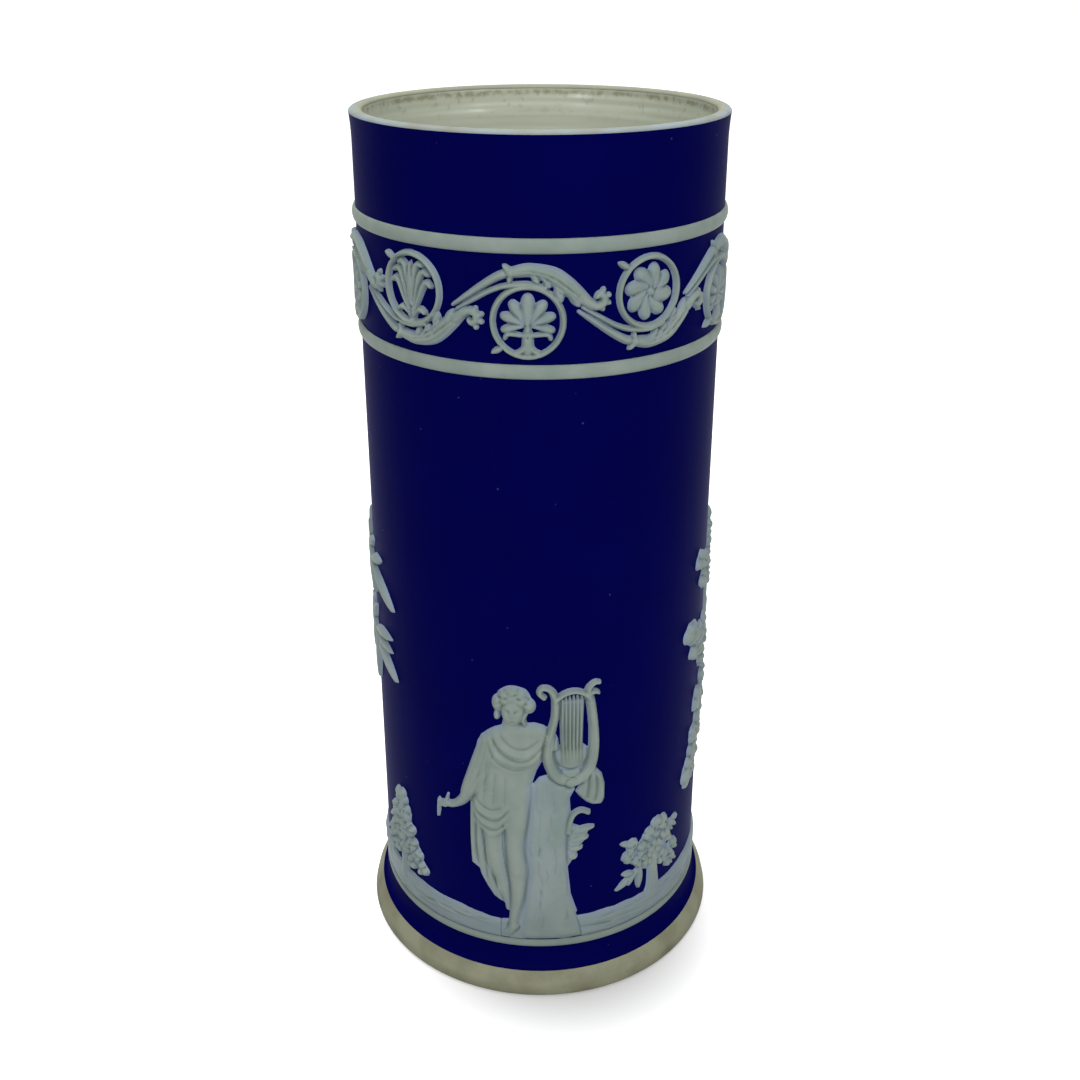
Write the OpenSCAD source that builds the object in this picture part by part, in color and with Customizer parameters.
// Spill vase: a turned stoneware cylinder on a flared foot, coated with blue slip outside and glazed
// inside, with moulded off-white reliefs bonded to the wall. The foot stands on z = 0, front to -Y.

/* [Body] */
// Height of the vase, foot to lip
vase_h = 160; // [130:1:200]
// Outside diameter of the wall where it meets the ground fillet
base_d = 63.8; // [60:0.1:68]
// Outside diameter of the wall just below the lip
neck_d = 61.9; // [58:0.1:66]
// Outside diameter of the lip
lip_d = 62.4; // [60:0.1:68]
// Height over which the wall flares out to the lip
lip_h = 5; // [3:0.5:8]
// Bare clay left above the slip coat
lip_bare = 1; // [0.6:0.1:2]
// Inside diameter at the mouth
mouth_d = 58; // [50:0.1:58]
// Inside diameter just above the floor
floor_d = 55.4; // [44:0.1:56]
// Height of the inside floor above the table
floor_z = 7; // [5:0.5:12]
// Rounding between the inside wall and the floor
floor_round = 4; // [2:0.5:8]

/* [Foot] */
// Outside diameter of the foot
foot_d = 70.8; // [66:0.1:78]
// Diameter of the foot where the cove starts
foot_top_d = 67.2; // [65:0.1:72]
// Height of the bare foot
foot_h = 4.8; // [3:0.1:8]
// Height of the cove between the foot and the ground fillet
cove_h = 4.8; // [3:0.1:8]
// Diameter of the cove at its top
cove_d = 63; // [59:0.1:66]
// Rounding of the foot's lower edge
foot_round = 0.8; // [0.4:0.1:1.5]
// Width of the ring that the vase stands on
stand_ring_w = 6; // [3:0.5:10]
// Depth of the hollow under the foot
underside_depth = 2; // [1:0.1:3]

/* [Slip coat and glaze] */
// Thickness of the slip coat
coat_t = 0.35; // [0.2:0.05:0.6]
// Thickness of the glaze lining
glaze_t = 0.15; // [0.1:0.05:0.4]
// Bare clay between the lip's edge and the glaze lining
glaze_drop = 1.2; // [0.8:0.1:4]
// Bond line between pieces that are stuck together
bond_gap = 0.02; // [0.01:0.01:0.05]

/* [Frieze] */
// Distance from the lip down to the middle of the upper bead
frieze_drop = 16.4; // [10:0.1:30]
// Distance between the middles of the two beads
frieze_h = 19.3; // [18.5:0.1:24]
// Height of a bead
bead_h = 2.3; // [1.5:0.1:2.6]
// How far a bead stands off the wall
bead_proud = 0.55; // [0.3:0.05:1]
// Number of scrolls round the vase
scroll_count = 10; // [8:2:10]
// Angle of the first scroll from the front
scroll_turn = -3.4; // [-18:0.1:18]
// Outside diameter of a scroll's ring
ring_d = 11.9; // [10.5:0.1:12.5]
// How far each ring sits above or below the middle of the frieze
ring_offset = 1.75; // [1.2:0.05:2]
// How far the scrolls stand off the wall
scroll_proud = 1; // [0.6:0.05:1.5]

/* [Ground] */
// Height of the ground fillet
fillet_h = 1.6; // [1:0.1:2.5]
// How far the ground fillet stands off the wall
fillet_proud = 0.5; // [0.3:0.05:1]
// Height of the ground banks above the fillet
bank_h = 5.6; // [4:0.1:8]
// How far the ground banks stand off the wall
bank_proud = 0.5; // [0.3:0.05:1]

/* [Figure, shrubs and trees] */
// Height of the figure
figure_h = 56; // [45:0.5:65]
// How far the figure stands off the wall
figure_proud = 1.7; // [1:0.1:2.2]
// Height of the round shrubs
round_shrub_h = 17.6; // [14:0.1:22]
// Angle of the round shrub from the middle of its figure
round_shrub_turn = 42; // [36:1:46]
// Height of the tall shrubs
tall_shrub_h = 20; // [15:0.1:24]
// Angle of the tall shrub from the middle of its figure
tall_shrub_turn = -56; // [-60:1:-48]
// Height of the trees
tree_h = 72; // [55:0.5:80]
// How far the foot of a trunk stands to one side of its crown, as a share of the tree's height
trunk_lean = 0.125; // [0.06:0.005:0.14]
// How far leaves and branches stand off the wall
leaf_proud = 1.3; // [0.8:0.1:1.8]

/* [Hidden] */
SCROLL_FLOWERS = ["fan", "rosette", "fan", "palmette", "fan",
    "rosette", "fan", "palmette", "fan", "palmette"];

CLAY = "#e9e6d8";
SLIP = "#10154f";
GLAZE = "#eeeee6";
RELIEF = "#dfe5d6";

turn_fn = 180;     // facets of the preview of a turned surface
core_fn = 32;      // facets of the wall that trims the backs of the reliefs
sink = 0.6;        // how far a relief's rough back reaches in before it is trimmed
arc_steps = 6;     // straight pieces in a turned curve
ring_w = 0.6;      // half width of a scroll's ring
ring_sides = 12;
bank_steps = 20;

// How deep and how far out the ground trims what stands on it
trim_depth = 1;
trim_reach = 6;

fillet_z = foot_h + cove_h;
field_z = fillet_z + fillet_h + bond_gap;
top_bead_z = vase_h - frieze_drop;
bottom_bead_z = top_bead_z - frieze_h;
frieze_mid_z = (top_bead_z + bottom_bead_z) / 2;
neck_z = vase_h - lip_h;
coat_top_z = vase_h - lip_bare;

// Scales of the reliefs, whose own points are drawn for a figure 56 tall, shrubs 17.6 and 20 tall, trees
// 72 tall, rings 11.9 across and a scroll every 19.5 along the wall
figure_scale = figure_h / 56;
round_shrub_scale = round_shrub_h / 17.6;
tall_shrub_scale = tall_shrub_h / 20;
tree_scale = tree_h / 72;
trunk_side = 72 * trunk_lean;
ring_scale = ring_d / 11.9;
scroll_scale = min(ring_scale, 2 * PI * wall_r(frieze_mid_z) / scroll_count / 19.5);

// How far the ground banks stop from a figure's middle, on the side of the stump and of the foot
stump_side = 8 * figure_scale;
foot_side = 7.4 * figure_scale;

// Outside radius of the coated wall at height z, a straight taper from the fillet to the neck
function wall_r(z) = (base_d + (neck_d - base_d) * (z - fillet_z) / (neck_z - fillet_z)) / 2;
function to_degrees(x) = x * 180 / PI;
function polar(r, a, z) = [r * sin(a), -r * cos(a), z];

// Point at s along the wall from the front, at height z, standing h off the wall
function wall_point(s, z, h) = polar(wall_r(z) + h, to_degrees(s / wall_r(z)), z);

// Turned outline of the coat from the foot to the bare lip, pulled in by inset
function coat_outline(inset) = concat(
    [for (i = [arc_steps:-1:0])
        let (t = 90 * i / arc_steps)
        [cove_d / 2 + (foot_top_d - cove_d) / 2 * (1 - cos(t)) - inset, fillet_z - cove_h * sin(t)]],
    [[wall_r(fillet_z) - inset, fillet_z], [wall_r(neck_z) - inset, neck_z]],
    [for (i = [1:arc_steps])
        let (t = i / arc_steps)
        [neck_d / 2 + (lip_d - neck_d) / 2 * t * t - inset, neck_z + (coat_top_z - neck_z) * t]]
);

// Turned outline of the inside from the mouth to the middle of the floor, pushed out by spare
function bore_outline(top_z, spare) = [
    [mouth_d / 2 + spare, top_z],
    [floor_d / 2 + spare, floor_z + floor_round],
    for (i = [1:arc_steps])
        let (t = 90 * i / arc_steps)
        [
            floor_d / 2 + spare - floor_round * (1 - cos(t)),
            floor_z + floor_round - (floor_round + spare) * sin(t)
        ],
    [0, floor_z - spare]
];

// The body: foot ring, bare foot, seat for the coat, rounded lip and tapered bore, all turned
module body() {
    lip_w = (lip_d - mouth_d) / 2;
    lip_z = coat_top_z + bond_gap;
    stand_r = foot_d / 2 - stand_ring_w;
    color(CLAY) rotate_extrude($fn = turn_fn) polygon(concat(
        [[0, underside_depth], [stand_r - underside_depth, underside_depth], [stand_r, 0]],
        [for (i = [0:arc_steps])
            let (t = 90 * i / arc_steps)
            [foot_d / 2 - foot_round * (1 - sin(t)), foot_round * (1 - cos(t))]],
        [[(foot_d + foot_top_d) / 4 + foot_round / 2, foot_h * 0.6], [foot_top_d / 2, foot_h - bond_gap]],
        coat_outline(coat_t + bond_gap),
        [[lip_d / 2, lip_z]],
        [for (i = [1:arc_steps])
            let (t = 180 * i / arc_steps)
            [(lip_d - lip_w) / 2 + lip_w / 2 * cos(t), lip_z + (vase_h - lip_z) * sin(t)]],
        bore_outline(vase_h - glaze_drop, glaze_t + bond_gap)
    ));
}

// Blue slip over the cove and the wall
module blue_dip() {
    outer = coat_outline(0);
    inner = coat_outline(coat_t);
    color(SLIP) rotate_extrude($fn = turn_fn)
        polygon(concat(outer, [for (i = [len(inner) - 1:-1:0]) inner[i]]));
}

// Glaze over the bore and the floor
module inner_glaze() {
    face = bore_outline(vase_h - glaze_drop - bond_gap, 0);
    back = bore_outline(vase_h - glaze_drop - bond_gap, glaze_t);
    color(GLAZE) rotate_extrude($fn = turn_fn)
        polygon(concat(face, [for (i = [len(back) - 1:-1:0]) back[i]]));
}

// Half-round moulding of height h round the wall, with its middle at height z
module moulding(z, h, proud) {
    color(RELIEF) rotate_extrude($fn = turn_fn) polygon(
        [for (i = [0:2 * arc_steps])
            let (t = -90 + 90 * i / arc_steps, y = z + h / 2 * sin(t))
            [wall_r(y) + bond_gap + proud * cos(t), y]]
    );
}

// The wall and its bond line, which trim the back of each relief
module wall_core() {
    spare = bond_gap + wall_r(fillet_z) * (1 - cos(180 / core_fn)) * 1.1;
    low_r = wall_r(fillet_z) + spare;
    high_r = wall_r(neck_z) + spare;
    translate([0, 0, fillet_z])
        cylinder(h = neck_z - fillet_z, r1 = low_r, r2 = high_r, $fn = core_fn);
}

// Sets one relief on the wall: its turn from the front, the height of its own zero, its scale, how far it
// stands off the wall, and whether it is upside down. A point of a relief is [along, up, half width, height].
module relief(turn, zero_z, scale, lift, flip = 1) {
    $zero_z = zero_z;
    $scale = scale;
    $lift = lift;
    $flip = flip;
    rotate([0, 0, turn]) children();
}
function placed(p) = [p[0] * $scale, $zero_z + $flip * p[1] * $scale, p[2] * $scale, p[3] * $lift];

// Low pad with n bevelled sides at a point of a relief
module pad(point, n) {
    p = placed(point);
    rotate([0, 0, to_degrees(p[0] / wall_r(p[1]))])
        translate([0, sink - wall_r(p[1]), p[1]])
            rotate([90, 0, 0])
                cylinder(h = sink + p[3], r1 = p[2] * 1.1, r2 = p[2] * 0.55, $fn = n);
}

// One smooth lump over several pads
module lump(points, n = 6) {
    hull() for (p = points) pad(p, n);
}

// A limb: pads joined in a row, each to the next
module limb(points, n = 5) {
    for (i = [1:len(points) - 1]) lump([points[i - 1], points[i]], n);
}

// A ridge with a sharp top that runs through its points, or closes into a ring. Its slopes run on to the
// rough back.
module ridge(points, closed = false) {
    section = [-1, 0, 1];
    p = [for (q = points) placed(q)];
    n = len(p);
    m = len(section);
    rows = [for (i = [0:n - 1])
        let (
            before = p[closed ? (i + n - 1) % n : max(i - 1, 0)],
            after = p[closed ? (i + 1) % n : min(i + 1, n - 1)],
            run = [after[0] - before[0], after[1] - before[1]],
            back_w = p[i][2] * (1 + sink / p[i][3]) / norm(run)
        )
        for (side = section)
            wall_point(p[i][0] - run[1] * side * back_w, p[i][1] + run[0] * side * back_w,
                side == 0 ? p[i][3] : -sink)];
    skin = [for (i = [0:closed ? n - 1 : n - 2])
        for (j = [0:m - 1])
            let (a = i * m + j, b = i * m + (j + 1) % m, far = (i + 1) % n * m)
            each [[a, b, far + (j + 1) % m], [a, far + (j + 1) % m, far + j]]];
    ends = closed ? [] : [[for (j = [m - 1:-1:0]) j], [for (j = [0:m - 1]) (n - 1) * m + j]];
    polyhedron(points = rows, faces = concat(skin, ends));
}

// A keeled leaf from its stalk to its tip
module leaf(from, angle, reach, w, h = 0.8) {
    run = reach * [cos(angle), sin(angle)];
    hull() ridge([
        [from[0], from[1], w * 0.4, h * 0.75],
        [from[0] + run[0] * 0.6, from[1] + run[1] * 0.6, w, h],
        [from[0] + run[0], from[1] + run[1], w * 0.25, h * 0.5]
    ]);
}

// The same points on the other side of an upright middle line
function mirrored(p, middle) = [for (q = p) [2 * middle - q[0], q[1], q[2], q[3]]];

// Frieze scroll: a ring round a flower, held by an acanthus leaf that runs on from a thin stem
module scroll_ring() {
    ring_r = ring_d / 2 - ring_w;
    ridge([for (i = [0:ring_sides - 1])
        let (t = 360 * i / ring_sides)
        [ring_r * cos(t), ring_r * sin(t), ring_w, 0.9]], closed = true);
    leaf([-ring_r * 0.7, ring_r * 0.7], 165, ring_d * 0.17, ring_d * 0.07, 0.9);
}

module scroll_leaf() {
    ridge([[-12.3, -1.8, 0.5, 0.6], [-9.6, -3.8, 0.9, 0.7], [-5.6, -6.6, 1, 0.8]]);
    ridge([[-7.6, -6.2, 0.7, 0.6], [-4.2, -7.3, 1.3, 0.9], [0.6, -7.8, 1.6, 1],
        [4.9, -4.7, 1.7, 1], [8.8, -3.1, 0.9, 0.9]]);
    lump([[8.6, -3, 1, 0.9], [10.2, -4, 1.7, 0.9]], 5);
}

module flower_petal(angle, root, reach, w) {
    leaf([root * cos(angle), root * sin(angle)], angle, reach - root, w, 0.95);
}

module scroll_flower(kind) {
    if (kind == "rosette") {
        for (i = [0:7]) flower_petal(45 * i, 0.9, i % 4 == 2 ? 5.2 : 4.5, 1.2);
        lump([[0, 0, 1.6, 1.2]], 6);
    }
    if (kind == "fan") {
        for (i = [-3:3]) flower_petal(90 + 28 * i, 0.9, 4.6, 1);
        leaf([0, 1.2], -90, 6.4, 1.2, 1.1);
    }
    if (kind == "palmette") {
        leaf([0, -5], 90, 9.6, 1.3, 1.1);
        for (side = [-1, 1]) for (i = [0:2])
            leaf([side * 0.3, i * 2 - 3.2], 90 - side * (56 - 8 * i), 4, 1, 0.9);
    }
}

module frieze_scroll(i) {
    high = i % 2 == 0 ? 1 : -1;
    turn = scroll_turn + 360 / scroll_count * (i - 1);
    mid_z = frieze_mid_z + high * ring_offset;
    color(RELIEF) difference() {
        union() {
            relief(turn, mid_z, 1, scroll_proud, high) scroll_ring();
            relief(turn, mid_z, scroll_scale, scroll_proud, high) scroll_leaf();
            relief(turn, mid_z, ring_scale, scroll_proud)
                scroll_flower(SCROLL_FLOWERS[(i - 1) % len(SCROLL_FLOWERS)]);
        }
        wall_core();
    }
}

// Top of a ground bank: [place as a share of its length from the stump's side, height as a share of bank_h]
bank_knots = [[0, 0.95], [0.12, 1], [0.2, 1.02], [0.36, 1.15], [0.5, 1.05], [0.62, 1.16], [0.78, 1.08],
    [0.9, 1], [0.95, 0.88], [1, 0.8]];
bank_start = to_degrees(stump_side / wall_r(field_z));
bank_end = 180 - to_degrees(foot_side / wall_r(field_z));
function bank_angle(t) = bank_start + (bank_end - bank_start) * t;
function bank_top(t) = field_z + bank_h * lookup(t, bank_knots);

// A bank with its front at front_h and its back at back_h off the wall, raised by spare
module bank(turn, back_h, front_h, spare) {
    m = 4;
    rows = [for (i = [0:bank_steps])
        let (
            t = i / bank_steps,
            a = bank_angle(t),
            low = field_z,
            top = bank_top(t) + spare
        )
        each [
            polar(wall_r(low) + back_h, a, low),
            polar(wall_r(low) + front_h, a, low),
            polar(wall_r(top) + front_h * 0.7, a, top),
            polar(wall_r(top) + back_h, a, top)
        ]];
    skin = [for (i = [0:bank_steps - 1])
        for (j = [0:m - 1])
            let (a = i * m + j, b = i * m + (j + 1) % m)
            each [[a, b, b + m], [a, b + m, a + m]]];
    ends = [[3, 2, 1, 0], [for (j = [0:m - 1]) bank_steps * m + j]];
    rotate([0, 0, turn]) polyhedron(points = rows, faces = concat(skin, ends));
}

module ground_bank(turn) {
    step = (bank_end - bank_start) / bank_steps;
    chord = wall_r(field_z) * (1 - cos(step / 2)) * 1.2;
    color(RELIEF) bank(turn, bond_gap + chord, bank_proud, 0);
}

// Trims what stands on the banks and the fillet
module on_ground() {
    difference() {
        children();
        union() {
            wall_core();
            cylinder(h = field_z, r = wall_r(field_z) + trim_reach, $fn = core_fn);
            for (turn = [0, 180]) bank(turn, -trim_depth, trim_reach, bond_gap);
        }
    }
}

// Round shrub: short stem under a full head, lobed all round
module round_shrub(turn) {
    base_z = bank_top(0.2);
    color(RELIEF) on_ground() relief(turn, base_z, round_shrub_scale, leaf_proud) {
        ridge([[-0.2, -2, 2.6, 0.7], [0, 3, 1.8, 0.8], [0, 8, 1.4, 0.9]]);
        lump([[-4.4, 7.8, 2.4, 0.6], [4.2, 7.8, 2.4, 0.6], [0, 13, 2.4, 0.65]], 6);
        leaf([0, 11.4], 90, 6.2, 2.1, 0.9);
        for (side = [-1, 1]) {
            leaf([side * 1.6, 11], 90 - side * 44, 5.4, 1.8, 0.8);
            leaf([side * 2.6, 9], 90 - side * 84, 5.4, 1.9, 0.9);
            leaf([side * 3.2, 7.4], 90 - side * 122, 6, 1.7, 0.8);
            leaf([side * 2.4, 6.4], 90 - side * 158, 4, 1.4, 0.7);
            lump([[side * 2.2, 9.2, 1.7, 0.95]], 5);
        }
    }
}

// Tall shrub: rows of rounded leaves up a cone
module tall_shrub(turn) {
    base_z = bank_top(0.8);
    color(RELIEF) on_ground() relief(turn, base_z, tall_shrub_scale, leaf_proud) {
        ridge([[0, -2, 2.2, 0.7], [0.2, 4, 1.4, 0.8], [0.4, 16, 1, 0.9]]);
        lump([[-4.2, 5.6, 2.2, 0.6], [4.2, 5.6, 2.2, 0.6], [0.3, 15, 2, 0.65]], 6);
        leaf([0.4, 14], 88, 6.2, 2.1, 0.9);
        for (row = [0:3]) for (side = [-1, 1])
            leaf([side * (3.6 - 0.6 * row), 4 + 3.2 * row], 90 - side * (98 - 15 * row), 3.8, 1.9, 0.9);
    }
}

// Bough with a rounded cluster of four broad leaves at its tip
module cluster(root, tip, w, leaf_w) {
    run = tip - root;
    heading = atan2(run[1], run[0]);
    limb([for (t = [0, 0.5, 1]) [root[0] + run[0] * t, root[1] + run[1] * t, w * 0.4, 0.7]], 4);
    lump([[tip[0], tip[1], w, 0.8]], 6);
    for (i = [-1.5:1.5])
        let (a = heading + 58 * i)
        leaf(tip + w * 0.55 * [cos(a), sin(a)], a, w * 1.25, leaf_w, abs(i) > 1 ? 0.8 : 0.95);
}

// Frond with narrow leaves in count pairs along it and one at its tip
module frond(root, tip, w, reach, count) {
    run = tip - root;
    heading = atan2(run[1], run[0]);
    limb([for (t = [0, 0.5, 1]) [root[0] + run[0] * t, root[1] + run[1] * t, w * 0.7, 0.7]], 4);
    for (i = [1:count])
        for (side = [-1, 1])
            leaf(root + run * i / count, heading + side * 44, reach, w, side > 0 ? 0.95 : 0.8);
    leaf(tip, heading, reach, w, 0.9);
}

// Trunk of a tree, which leans in under its crown from a foot that stands lean to one side
function trunk_x(y, lean) = lean * lookup(y, [[-3, 1], [6, 0.9], [24, 0.55], [46, 0.15], [66, 0]]);
module trunk(lean) {
    ridge([for (p = [[-3, 3, 0.8], [6, 2.2, 1], [24, 1.8, 1], [46, 1.5, 1], [66, 1, 0.8]])
        [trunk_x(p[0], lean), p[0], p[1], p[2]]]);
}

// Tree with broad leaves in three drooping clusters on each side
module tree_oak() {
    lean = trunk_side;
    color(RELIEF) on_ground() relief(90, bank_top(0.5), tree_scale, leaf_proud) {
        trunk(lean);
        leaf([0, 62], 90, 9, 3, 0.9);
        for (side = [-1, 1]) {
            cluster([0, 57 + side], [side * 12, 64 + side], 4, 2.2);
            cluster([trunk_x(46, lean), 46 - side], [side * 13, 48 - side], 4.2, 2.4);
            cluster([trunk_x(36, lean), 36 + side], [side * 12, 28 + side], 4.8, 2.6);
        }
    }
}

// Tree with narrow leaves on fronds that arch over and hang down
module tree_willow() {
    lean = -trunk_side;
    color(RELIEF) on_ground() relief(-90, bank_top(0.5), tree_scale, leaf_proud) {
        trunk(lean);
        leaf([0, 64], 90, 8, 1.8, 0.9);
        for (side = [-1, 1]) {
            frond([0, 65 + side], [side * 13, 61 + side], 1.7, 6.6, 2);
            frond([trunk_x(53, lean), 53 - side], [side * 13, 46 - side], 2, 7, 2);
        }
    }
}

// Figure group with its zero at the feet: a draped lyre player leaning on a tree stump
module figure_head() {
    lump([[-5, 52.6, 2.3, 1], [-5.1, 49.6, 1.6, 0.95]], 6);
    lump([[-5.2, 45.6, 2, 0.65], [-5.1, 49.6, 1.6, 0.65]], 5);
    lump([[-6.6, 52.4, 1.6, 0.65], [-5.6, 55, 1.8, 0.75], [-3.4, 55, 1.8, 0.75], [-2.8, 52.6, 1.5, 0.65]], 5);
    for (curl = [[-7.5, 51.8], [-6.8, 54.2], [-2.6, 54.2], [-2, 52]])
        lump([[curl[0], curl[1], 1, 0.9]], 5);
}

module figure_torso() {
    lump([[-9, 44.2, 1.9, 0.55], [-1, 45.4, 2, 0.55], [-12.2, 32.6, 1.4, 0.45], [-3.6, 30, 2, 0.6]], 5);
    lump([[-6.8, 43, 2.6, 0.8], [-1.8, 43.6, 2.4, 0.8], [-5, 34, 3, 0.75]], 5);
    ridge([[-8.6, 46, 0.6, 0.85], [-6.6, 42.3, 0.6, 0.95], [-3.8, 41.6, 0.6, 1], [-0.4, 44.6, 0.6, 0.9]]);
    ridge([[-9.6, 43, 0.6, 0.75], [-7, 39.4, 0.6, 0.9], [-3.6, 38.8, 0.6, 0.9], [-0.6, 41.4, 0.6, 0.85]]);
}

module figure_arms() {
    limb([[-9.6, 44.6, 1.9, 0.75], [-12.4, 35.6, 1.8, 0.75], [-14, 31.8, 1.2, 0.65],
        [-16.8, 29, 0.9, 0.5], [-19.2, 28.2, 0.9, 0.5]]);
    leaf([-19.4, 28.4], -106, 4, 0.6, 0.5);
    leaf([-18.2, 28.4], 84, 2.4, 0.5, 0.45);
    limb([[-0.6, 45.6, 2, 0.7], [3, 44, 1.6, 0.5]]);
}

module figure_legs() {
    limb([[-4.4, 27, 2.3, 0.75], [-4.6, 17.4, 1.7, 0.75], [-4.2, 12, 1.5, 0.7], [-5, 4.6, 1, 0.5]]);
    lump([[-5, 3, 1.1, 0.55], [-6.4, 1.2, 0.8, 0.5]], 5);
    limb([[-8.2, 26, 2.4, 0.65], [-9, 18.4, 1.7, 0.6], [-7.4, 10.6, 1, 0.4]]);
}

module figure_cloak() {
    lump([[-11.9, 31, 1.2, 0.35], [-12, 17.2, 1.1, 0.3], [-8.6, 11.6, 1.2, 0.3], [-6.4, 9.8, 1, 0.3],
        [-5.4, 28, 1.6, 0.4]], 5);
    ridge([[-13, 30.4, 0.5, 0.6], [-9.6, 26, 0.8, 0.8], [-6, 26.4, 0.8, 0.85], [-2.4, 30.4, 0.5, 0.75]]);
    ridge([[-12.4, 33, 0.5, 0.6], [-9, 29.4, 0.7, 0.75], [-5.6, 29.6, 0.7, 0.8], [-2.6, 32, 0.4, 0.7]]);
    for (fold = [[-12.3, 28, 17], [-10.8, 25.6, 14.6], [-6.6, 24.4, 10]])
        ridge([[fold[0], fold[1], 0.5, 0.55], [fold[0] + 0.5, fold[2], 0.5, 0.5]]);
}

module lyre() {
    middle = 5.6;
    arm = [[5.6, 36.6, 1.2, 0.8], [2, 39, 1.1, 0.8], [1.4, 45, 1, 0.8], [2.6, 53, 0.8, 0.75],
        [1.8, 56.4, 0.7, 0.7], [0.3, 56, 0.6, 0.65]];
    ridge(arm);
    ridge(mirrored(arm, middle));
    lump([[middle, 38.6, 2.8, 0.55], [middle, 43, 2.7, 0.5]], 5);
    lump([[middle, 43, 1.7, 0.25], [middle, 53, 2, 0.25]], 4);
    ridge([[2.2, 53.6, 0.7, 0.7], [middle, 55.4, 0.9, 0.7], [9, 53.6, 0.7, 0.7]]);
    ridge([[2.6, 40.8, 0.5, 0.7], [middle, 39.6, 0.6, 0.75], [8.6, 40.8, 0.5, 0.7]]);
    for (i = [-2:2])
        ridge([[middle + 0.7 * i, 43, 0.2, 0.6], [middle + 0.85 * i, 54.4, 0.2, 0.6]]);
}

module stump() {
    lump([[-6.4, 1.4, 0.9, 0.28], [-6.2, 3.6, 0.7, 0.28], [-3, 4, 1, 0.28], [-3, 1, 1, 0.28]], 4);
    limb([[2, 33.6, 4.2, 0.5], [1.3, 19, 4.1, 0.5], [1.8, -1, 6, 0.5]], 5);
    ridge([[0.4, 34, 0.6, 0.6], [-0.4, 19, 0.6, 0.65], [-1.6, 2, 0.7, 0.6]]);
    ridge([[3.2, 32, 0.6, 0.6], [2.8, 17, 0.6, 0.65], [4.4, 2, 0.7, 0.6]]);
    ridge([[5.2, 24.6, 0.6, 0.6], [5.5, 28.2, 0.6, 0.6], [7, 29.9, 0.6, 0.6], [8.8, 29.2, 0.5, 0.5]]);
    lump([[5.4, 17.6, 0.8, 0.5], [6.4, 25.2, 1.2, 0.5], [8.2, 24.6, 0.9, 0.5]], 5);
}

module hanging_cloth() {
    lump([[8.2, 38.6, 1.2, 0.5], [10.9, 36.2, 0.9, 0.45], [11.2, 31.6, 0.8, 0.4], [7.6, 32.4, 0.9, 0.4]], 5);
    ridge([[8, 37.6, 0.4, 0.6], [8.3, 31.8, 0.5, 0.55]]);
    ridge([[9.4, 37.4, 0.4, 0.6], [10, 31.2, 0.5, 0.55]]);
}

module figure_group(turn) {
    color(RELIEF) on_ground() relief(turn, field_z, figure_scale, figure_proud) {
        figure_head();
        figure_torso();
        figure_arms();
        figure_legs();
        figure_cloak();
        lyre();
        stump();
        hanging_cloth();
    }
}

body();
blue_dip();
inner_glaze();
moulding(top_bead_z, bead_h, bead_proud);  // frieze_top_bead
moulding(bottom_bead_z, bead_h, bead_proud);  // frieze_bottom_bead
moulding(fillet_z + fillet_h / 2, fillet_h, fillet_proud);  // ground_fillet
ground_bank(0);  // ground_bank_right
ground_bank(180);  // ground_bank_left
figure_group(0);  // figure_front
figure_group(180);  // figure_back
round_shrub(round_shrub_turn);  // shrub_round_front
tall_shrub(tall_shrub_turn);  // shrub_tall_front
round_shrub(round_shrub_turn + 180);  // shrub_round_back
tall_shrub(tall_shrub_turn + 180);  // shrub_tall_back
tree_oak();
tree_willow();
for (i = [1:scroll_count])
    frieze_scroll(i);
